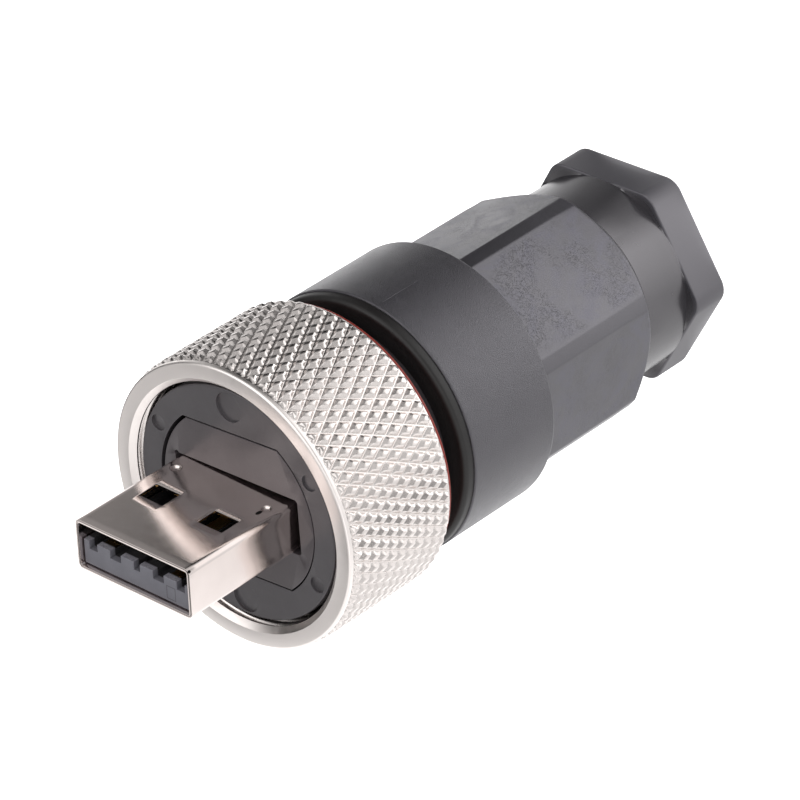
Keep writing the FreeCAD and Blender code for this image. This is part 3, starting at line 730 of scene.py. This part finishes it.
def backshell():
    half = 30.0 - math.degrees(math.acos(9.32 / 10.4))
    phis = hex_columns(39.4, half)
    b = Build()
    rows = []
    # bore side, from the seat at the front inwards, hidden once assembled
    hollow = [(47.4, 4.3), (45.9, 4.3), (45.9, 8.4), (33.2, 8.4), (33.2, 9.35), (27.65, 9.35), (27.65, 10.4), (26.65, 10.4)]
    back = [(51.5, 7.4), (57.2, 7.4), (57.2, 6.0), (47.4, 6.0)]
    collar = arc_profile([(26.65, 10.4), (26.65, 11.5), (36.35, 11.5), (36.35, 9.0)], [0, 0.16, 0.30, 0], 5)
    off_line = np.abs(np.degrees((phis - math.radians(98.6) + PI) % TAU - PI))
    line = 0.03 * np.clip(1.0 - off_line / 0.14, 0.0, 1.0)
    split = [i for i in range(len(collar) - 1) if collar[i + 1][0] - collar[i][0] > 5.0][0]
    for i, (x, r) in enumerate(collar[1:-1], start=1):
        rows.append(circle_row(x, r, phis))
        if i == split:
            # a faint line of the mould's parting runs a little way back
            for xx, k in ((27.1, 0.0), (27.3, 1.0), (29.0, 1.0), (31.0, 0.8), (33.0, 0.0)):
                rows.append(circle_row(xx, r + line * k - 0.002, phis))
    # rear face of the collar runs down to the hexagon's foot
    xs = [36.35, 36.38, 36.45, 36.55]
    xs += list(np.linspace(36.9, 49.2, 10)) + list(np.arange(49.4, 51.19, 0.07)) + [51.2, 51.25, 51.285, 51.30]
    for x in xs:
        flat_r = soft_min(hexagon(phis, 9.32, 39.4), np.full_like(phis, 10.4), 0.05)
        cone = 10.4 - max(0.0, x - 49.95) * (10.4 - 8.95) / (51.3 - 49.95)
        r = soft_min(flat_r, np.full_like(phis, cone + 0.0), 0.16) if x > 49.0 else flat_r
        r = r - (0.0 if x < 51.2 else (x - 51.2) * 1.2)
        rows.append(circle_row(x, r, phis))
    rows.append(circle_row(51.3, 7.6, phis))
    for x, r in back + hollow:
        rows.append(circle_row(x, r, phis))
    b.loops(rows, ring=True)
    return piece("backshell_grip", b.verts(), b.f, "shell_plastic", "plug_body", "backshell")


backshell()


# ---------------------------------------------------------------- gland nut
def rounded_hex(phi, apothem, phase, rad):
    """Radius of a hexagon whose corners are rounded by rad."""
    t = (phi - math.radians(phase) + PI / 6) % (PI / 3) - PI / 6   # 0 at a corner
    corner_centre = (apothem - rad) / math.cos(PI / 6)
    flat_r = apothem / np.cos(PI / 6 - np.abs(t))
    # ray against the corner's circle
    c = corner_centre
    disc = np.maximum(rad * rad - (c * np.sin(t)) ** 2, 0.0)
    arc_r = c * np.cos(t) + np.sqrt(disc)
    # the arc ends where its normal meets the flat's
    end_y = rad * math.sin(PI / 6)
    end_x = c + rad * math.cos(PI / 6)
    limit = math.atan2(end_y, end_x)
    return np.where(np.abs(t) <= limit, arc_r, flat_r)


def gland_nut():
    apo, rad, phase = 8.74, 1.7, 58.9
    c = (apo - rad) / math.cos(PI / 6)
    limit = math.degrees(math.atan2(rad * 0.5, c + rad * math.cos(PI / 6)))
    cols = []
    for k in range(6):
        rel = list(np.linspace(0, limit, 9)) + list(np.linspace(limit + 0.8, 30.0, 14))
        both = sorted(set([round(-q, 4) for q in rel] + [round(q, 4) for q in rel]))
        cols += [phase + 60.0 * k + q for q in both if q > -30.0]
    phis = np.radians(np.array(sorted(cols)))
    b = Build()
    rows = []
    bore = [(57.8, 7.46), (51.75, 7.46)]
    rows += [circle_row(x, r, phis) for x, r in bore]
    for x, r in arc_profile([(51.75, 7.5), (51.45, 7.76), (51.45, 8.74), (56.4, 8.74)], [0, 0, 0.18, 0], 4)[1:-1]:
        rows.append(circle_row(x, r, phis))
    rows.append(circle_row(53.8, 8.74, phis))
    rows.append(circle_row(56.3, 8.74, phis))
    hexr = rounded_hex(phis, apo, phase, rad)
    for q in range(6):
        t = PI / 2 * q / 5
        rows.append(circle_row(56.4 + 0.16 * (1 - math.cos(t)), np.maximum(hexr - 0.16 * (1 - math.sin(t)), 8.74), phis))
    for q in range(6):
        t = PI / 2 * q / 5
        rows.append(circle_row(60.0 - 0.25 * (1 - math.sin(t)), hexr - 0.25 * (1 - math.cos(t)), phis))
    end = arc_profile([(60.0, 8.0), (60.0, 4.0), (57.8, 4.0), (57.8, 7.4)], [0, 0.4, 0, 0], 5)
    for x, r in end[:-1]:
        rows.append(circle_row(x, r, phis))
    b.loops(rows, ring=True)
    return piece("gland_nut_grip", b.verts(), b.f, "nut_plastic", "nut", "gland_nut", sharp=33.0)


gland_nut()

# ---------------------------------------------------------------- stop ring
lathe("stop_band", [(25.6, 9.42), (25.6, 11.36), (26.63, 11.36), (26.63, 9.42)], [0, 0.46, 0.05, 0],
      "stop_black", "plug_body", "stop_ring", 192, 6)

# ---------------------------------------------------------- red ring washer
lathe("washer_red", [(22.84, 9.7), (22.84, 12.0), (23.2, 12.0), (23.2, 9.7)], [0, 0.08, 0.12, 0],
      "red_silicone", "ring_carrier", "ring_washer", 160, 3)


# ------------------------------------------------- front housing and insert
def front_housing():
    b = Build()
    n = 144
    turn = -3.5
    e = 0.16
    marks = [(9.15, 30 - 2, 0.7), (9.15, 150 - 2, 0.7), (9.15, 210 - 2, 0.7), (9.15, 330 - 2, 0.7),
             (8.62, 90 - 2, 1.3), (8.62, 270 - 2, 1.3)]
    x0 = 11.7
    outer = round_loop(0, 0, 10.15 - e, n)
    hole = dee_loop(8.05 + 0.05, 6.32 + 0.05, turn)
    mark_loops = []
    for circ, ang, r in marks:
        cy, cz = circ * math.cos(math.radians(ang)), circ * math.sin(math.radians(ang))
        mark_loops.append((cy, cz, r))
    flat(b, x0, outer, [hole] + [round_loop(cy, cz, r + 0.015, 36) for cy, cz, r in mark_loops])
    # shallow round marks of the mould's ejector pins
    for cy, cz, r in mark_loops:
        rows = []
        for dx, dr in ((0.0, 0.015), (0.006, 0.004), (0.02, 0.0), (0.19, -0.005), (0.205, -0.012), (0.21, -0.03)):
            rows.append(loop3(x0 + dx, round_loop(cy, cz, r + dr, 36)))
        b.loops(rows)
        flat(b, x0 + 0.21, round_loop(cy, cz, r - 0.03, 36), [])
    # opening for the insert
    rows = []
    for dx, dr in ((0.0, 0.05), (0.015, 0.015), (0.05, 0.0), (2.3, 0.0)):
        rows.append(loop3(x0 + dx, dee_loop(8.05 + dr, 6.32 + dr, turn)))
    b.loops(rows)
    # outer edge, barrel, groove, shoulder, neck and spigot
    prof = arc_profile([(x0, 10.15 - e), (x0, 10.15), (16.7, 10.15), (16.7, 9.55), (17.9, 9.55), (17.9, 10.15), (19.0, 10.15),
                        (19.0, 9.4), (26.6, 9.4), (26.6, 9.3), (32.5, 9.3), (32.5, 8.4), (14.0, 8.4), (14.0, 8.2)],
                       [0, e * 0.9, 0.08, 0.05, 0.05, 0.08, 0.1, 0.1, 0, 0, 0.1, 0.1, 0, 0], 4)
    phis = np.arange(n) * TAU / n
    b.loops([circle_row(x, r, phis) for x, r in prof])
    # seat behind the opening
    flat(b, 14.0, round_loop(0, 0, 8.2, n), [dee_loop(8.05, 6.32, turn)])
    return piece("front_moulding", b.verts(), b.f, "face_plastic", "plug_body", "front_housing", sharp=28.0)


front_housing()


def insert():
    b = Build()
    turn = -3.5
    x0 = 11.7
    shift = -0.12
    e = 0.06
    slot_y, slot_z = 6.44, 2.48

    def slot(grow):
        return rect_loop(slot_y + grow, slot_z + grow, 0.3 + grow, n=10, turn=-1.8, shift=-0.04, notch=0.24 + grow)

    flat(b, x0, dee_loop(7.85 - e, 6.22 - e, turn, shift=shift), [slot(0.04)])
    rows = []
    for dx, dr in ((0.0, -e), (0.015, -0.02), (0.06, 0.0), (2.28, 0.0)):
        rows.append(loop3(x0 + dx, dee_loop(7.85 + dr, 6.22 + dr, turn, shift=shift)))
    b.loops(rows)
    rows = []
    for dx, dr in ((0.0, 0.04), (0.012, 0.012), (0.04, 0.0), (4.8, 0.0)):
        rows.append(loop3(x0 + dx, slot(dr)))
    b.loops(rows)
    # broader rear flange
    n = 144
    flat(b, x0 + 2.28, round_loop(0, 0, 8.0, n), [dee_loop(7.85, 6.22, turn, shift=shift)])
    phis = np.arange(n) * TAU / n
    b.loops([circle_row(x, r, phis) for x, r in [(x0 + 2.28, 8.0), (x0 + 2.32, 8.3), (16.5, 8.3), (16.5, 8.2)]])
    flat(b, 16.5, round_loop(0, 0, 8.2, n), [slot(0.0)])
    return piece("insert_moulding", b.verts(), b.f, "insert_plastic", "plug_body", "insert", sharp=28.0)


insert()


# ------------------------------------------------------------- stamped blade
def crowd(lo, hi, marks, step):
    """Stations from lo to hi, fine round the marks (centre, half width, step)."""
    out = {round(lo, 4), round(hi, 4)}
    for c, w, s in marks:
        k = max(1, int(round(2 * w / s)))
        for i in range(k + 1):
            q = c - w + 2 * w * i / k
            if lo <= q <= hi:
                out.add(round(q, 4))
    pts = sorted(out)
    full = [pts[0]]
    for q in pts[1:]:
        gap = q - full[-1]
        if gap > step * 1.5:
            k = int(math.ceil(gap / step))
            full += [full[-1] + gap * i / k for i in range(1, k)]
        full.append(q)
    return full


def blade():
    wide, thick, wall, rad = 6.0, 2.25, 0.3, 0.5
    win = [(1.85, 4.35), (-4.35, -1.85)]
    w0, w1 = 5.4, 7.4
    dim = [(10.0, 4.75), (10.0, -4.75)]
    # one side of the section, from y = -5.5 to 5.5, at the top and the bottom
    ys = crowd(-5.5, 5.5, [(4.75, 0.55, 0.07), (-4.75, 0.55, 0.07), (1.85, 0.03, 0.03), (4.35, 0.03, 0.03),
                           (-1.85, 0.03, 0.03), (-4.35, 0.03, 0.03), (0, 0.02, 0.04)], 0.5)
    ys = sorted(set(ys) | {1.85, 4.35, -1.85, -4.35})
    sect = []                       # (y, z, normal y, normal z, kind)
    for y in reversed(ys):          # top, running from +y to -y
        sect.append((y, thick, 0.0, 1.0, "top"))
    for i in range(1, 8):
        t = PI / 2 + PI / 2 * i / 8
        sect.append((-wide + rad + rad * math.cos(t), thick - rad + rad * math.sin(t), math.cos(t), math.sin(t), "bend"))
    for z in np.linspace(thick - rad, -thick + rad, 7):
        sect.append((-wide, z, -1.0, 0.0, "side"))
    for i in range(1, 8):
        t = PI + PI / 2 * i / 8
        sect.append((-wide + rad + rad * math.cos(t), -thick + rad + rad * math.sin(t), math.cos(t), math.sin(t), "bend"))
    for y in ys:
        sect.append((y, -thick, 0.0, -1.0, "bottom"))
    for i in range(1, 8):
        t = 1.5 * PI + PI / 2 * i / 8
        sect.append((wide - rad + rad * math.cos(t), -thick + rad + rad * math.sin(t), math.cos(t), math.sin(t), "bend"))
    for z in np.linspace(-thick + rad, thick - rad, 7):
        sect.append((wide, z, 1.0, 0.0, "side"))
    for i in range(1, 8):
        t = PI / 2 * i / 8
        sect.append((wide - rad + rad * math.cos(t), thick - rad + rad * math.sin(t), math.cos(t), math.sin(t), "bend"))
    xs = crowd(0.035, 18.75, [(10.0, 0.55, 0.07), (5.4, 0.03, 0.03), (7.4, 0.03, 0.03)], 0.9)
    xs = sorted(set(xs) | {5.4, 7.4})
    k = len(sect)
    b = Build()

    def skin(depth):
        ids = []
        for x in xs:
            pts = []
            for y, z, ny, nz, kind in sect:
                d = depth
                if kind in ("top", "bottom"):
                    for dx, dy in dim:
                        q = math.hypot(x - dx, y - dy)
                        u = min(1.0, max(0.0, (0.46 - q) / 0.26))
                        d += 0.20 * u * u * (3.0 - 2.0 * u)
                    # the edge of each window is rolled over a little by the punch
                    if depth == 0.0:
                        for a, c in win:
                            ox = max(w0 - x, x - w1, 0.0)
                            oy = max(a - y, y - c, 0.0)
                            q = math.hypot(ox, oy)
                            if q < 0.029:
                                d += 0.02
                    else:
                        # the punch leaves the wall thinner right at the window
                        for a, c in win:
                            ox = max(w0 - x, x - w1, 0.0)
                            oy = max(a - y, y - c, 0.0)
                            if math.hypot(ox, oy) < 0.001:
                                d = 0.15
                pts.append((x, y - ny * d, z - nz * d))
            ids.append(b.points(pts))
        return ids

    def in_window(i, j):
        x = (xs[i] + xs[i + 1]) / 2
        a, c = sect[j], sect[(j + 1) % k]
        if a[4] not in ("top", "bottom") or c[4] != a[4]:
            return False
        y = (a[0] + c[0]) / 2
        return w0 < x < w1 and any(lo < y < hi for lo, hi in win)

    out = skin(0.0)
    inn = skin(wall)
    for i in range(len(xs) - 1):
        for j in range(k):
            jj = (j + 1) % k
            if in_window(i, j):
                continue
            b.f.append((out[i][j], out[i][jj], out[i + 1][jj], out[i + 1][j]))
            b.f.append((inn[i][jj], inn[i][j], inn[i + 1][j], inn[i + 1][jj]))
    # walls of the windows
    for i in range(len(xs) - 1):
        for j in range(k):
            jj = (j + 1) % k
            if not in_window(i, j):
                continue
            if i == 0 or not in_window(i - 1, j):
                b.f.append((out[i][j], out[i][jj], inn[i][jj], inn[i][j]))
            if not in_window(i + 1, j):
                b.f.append((out[i + 1][jj], out[i + 1][j], inn[i + 1][j], inn[i + 1][jj]))
            if not in_window(i, (j - 1) % k):
                b.f.append((out[i][j], inn[i][j], inn[i + 1][j], out[i + 1][j]))
            if not in_window(i, jj):
                b.f.append((out[i][jj], out[i + 1][jj], inn[i + 1][jj], inn[i][jj]))
    # cut front edge, a hair rounded, and the rear edge
    lip = []
    for x, d in ((0.012, 0.01), (0.0, 0.035), (0.0, wall - 0.035), (0.012, wall - 0.01)):
        lip.append(b.points([(x, y - ny * d, z - nz * d) for y, z, ny, nz, _ in sect]))
    chain = [out[0]] + lip + [inn[0]]
    for a, c in zip(chain, chain[1:]):
        b.strip(a, c)
    b.strip(out[-1], inn[-1])
    return piece("blade_shell", b.verts(), b.f, "bright_nickel", "plug_body", "usb_shell", sharp=38.0)


blade()

# --------------------------------------------------- carried-over CAD pieces
CARRIED = {
    "contact_vbus": "gold_plate", "contact_data_minus": "gold_plate",
    "contact_data_plus": "gold_plate", "contact_gnd": "gold_plate",
    "rear_shield": "tinned_steel", "insert_keeper": "face_plastic", "plug_seal": "black_rubber",
    "body_seal": "black_rubber", "gland_seal": "black_rubber", "gland_cage": "nut_plastic",
    "slip_washer": "nut_plastic", "insulator": "tongue_plastic",
}
for name, mat in CARRIED.items():
    obj = NODES[name]
    if not obj.material_slots:
        obj.data.materials.append(MAT[mat])
    for s in obj.material_slots:
        s.material = MAT[mat]

# ----------------------------------------------------------- floor and light
floor_mesh = bpy.data.meshes.new("studio_floor")
bm = bmesh.new()
bmesh.ops.create_circle(bm, cap_ends=True, segments=96, radius=1.6)
bm.to_mesh(floor_mesh)
bm.free()
floor = bpy.data.objects.new("studio_floor", floor_mesh)
floor.location = (0.0, 0.0, -0.0048)      # below the unscrewed nut
bpy.context.scene.collection.objects.link(floor)
mat, nt, bsdf = new_material("floor_white")
v = coords(nt)
nt.links.new(two_colours(nt, noise(nt, v, 6.0, 2.0), (0.80, 0.80, 0.80), (0.82, 0.82, 0.82)), bsdf.inputs["Base Color"])
bsdf.inputs["Roughness"].default_value = 0.9
bsdf.inputs["Emission Color"].default_value = (1.0, 1.0, 1.0, 1.0)
bsdf.inputs["Emission Strength"].default_value = 1.0
floor_mesh.materials.append(mat)

# Soft light all round: a table of panel brightness by compass sector (22.5
# degrees each, from row +X), on the table's surface outwards and up the dome.
TABLE = [(0.015, [0.2, 0.4, 1.0, 1.7, 1.7, 1.7, 1.6, 1.5, 1.4, 1.2, 1.1, 1.0, 1.0, 1.6, 2.0, 0.7]),
         (0.030, [0.4, 0.1, 0.1, 1.3, 1.9, 1.7, 1.6, 1.5, 1.6, 1.4, 0.9, 1.1, 1.2, 2.2, 2.6, 2.1]),
         (0.053, [0.0, 0.0, 0.0, 0.6, 1.8, 1.5, 1.4, 1.4, 1.5, 1.3, 1.0, 0.9, 0.9, 1.6, 1.8, 1.5]),
         (0.120, [0.5, 0.0, 0.3, 0.5, 1.0, 1.1, 1.1, 1.2, 1.2, 1.2, 1.3, 0.8, 0.9, 0.8, 0.5, 0.8]),
         (0.600, [0.6, 0.5, 0.9, 0.5, 0.6, 0.7, 0.9, 1.1, 1.0, 1.0, 0.8, 0.7, 0.8, 0.4, 0.0, 0.3])]
DOME = [(5.5, [0.9, 0.4, 0.2, 0.0, 0.0, 0.0, 0.7, 1.3, 1.2, 1.0, 0.9, 1.0, 1.1, 0.5, 0.2, 0.5]),
        (16.5, [1.1, 0.5, 0.3, 0.0, 0.0, 0.0, 0.8, 1.3, 1.2, 1.0, 1.1, 1.3, 1.4, 1.2, 1.1, 1.2]),
        (29.0, [1.3, 1.1, 1.4, 0.0, 0.0, 0.6, 1.3, 1.3, 1.3, 1.1, 1.1, 1.3, 1.3, 1.3, 1.4, 1.5]),
        (43.0, [1.7, 1.9, 2.6, 1.0, 0.6, 0.6, 0.0, 0.7, 1.0, 1.3, 1.0, 0.9, 0.8, 1.0, 1.2, 1.5]),
        (59.0, [1.3, 1.4, 1.4, 1.1, 0.7, 0.4, 0.0, 0.1, 0.2, 0.4, 0.5, 0.4, 0.3, 0.6, 0.9, 1.1]),
        (79.0, [1.2, 1.1, 1.0, 1.0, 0.9, 0.8, 0.8, 0.7, 0.7, 0.7, 0.7, 0.7, 0.7, 0.8, 0.9, 1.0])]


def sector_value(table, key, angle):
    keys = [k for k, _ in table]
    cols = np.array([v for _, v in table])
    t = (angle / 22.5) % 16.0
    i, u = int(t) % 16, t - int(t)
    line = cols[:, i] * (1 - u) + cols[:, (i + 1) % 16] * u
    return float(np.interp(key, keys, line))


def panel(name, rings, columns):
    """An emitting skin through rings of (points, values), unseen by the camera."""
    verts, glow, faces = [], [], []
    for ring in rings:
        for p, g in ring:
            verts.append(p)
            glow.append(g)
    for i in range(len(rings) - 1):
        for j in range(columns):
            jj = (j + 1) % columns
            faces.append((i * columns + j, i * columns + jj, (i + 1) * columns + jj, (i + 1) * columns + j))
    mesh = bpy.data.meshes.new(name)
    mesh.from_pydata(verts, [], faces)
    attr = mesh.color_attributes.new("glow", "FLOAT_COLOR", "POINT")
    for d, g in zip(attr.data, glow):
        d.color = (g, g, g, 1.0)
    mat = bpy.data.materials.new(name)
    mat.use_nodes = True
    nt = mat.node_tree
    nt.nodes.clear()
    out = nt.nodes.new("ShaderNodeOutputMaterial")
    em = nt.nodes.new("ShaderNodeEmission")
    at = nt.nodes.new("ShaderNodeAttribute")
    at.attribute_name = "glow"
    nt.links.new(at.outputs["Color"], em.inputs["Color"])
    nt.links.new(em.outputs["Emission"], out.inputs["Surface"])
    mesh.materials.append(mat)
    obj = bpy.data.objects.new(name, mesh)
    obj.visible_camera = False
    bpy.context.scene.collection.objects.link(obj)
    return obj


COLS = 32
radii = [0.0095, 0.015, 0.022, 0.030, 0.040, 0.053, 0.08, 0.12, 0.25, 0.6, 1.5]
panel("table_glow", [[((r * math.cos(TAU * c / COLS), r * math.sin(TAU * c / COLS), -0.0001),
                       sector_value(TABLE, r, 360.0 * c / COLS)) for c in range(COLS)] for r in radii], COLS)
lifts = [0.0, 5.5, 11.0, 16.5, 22.0, 29.0, 36.0, 43.0, 51.0, 59.0, 69.0, 79.0, 89.5]
panel("dome_glow", [[((1.5 * math.cos(math.radians(e)) * math.cos(TAU * c / COLS),
                       1.5 * math.cos(math.radians(e)) * math.sin(TAU * c / COLS),
                       1.5 * math.sin(math.radians(e))), sector_value(DOME, e, 360.0 * c / COLS))
                     for c in range(COLS)] for e in lifts], COLS)

world = bpy.data.worlds.new("studio")
bpy.context.scene.world = world
world.use_nodes = True
wn = world.node_tree
wn.nodes.clear()
wout = wn.nodes.new("ShaderNodeOutputWorld")
wbg = wn.nodes.new("ShaderNodeBackground")
wbg.inputs["Color"].default_value = (1.0, 1.0, 1.0, 1.0)
wbg.inputs["Strength"].default_value = 1.0
wn.links.new(wbg.outputs["Background"], wout.inputs["Surface"])
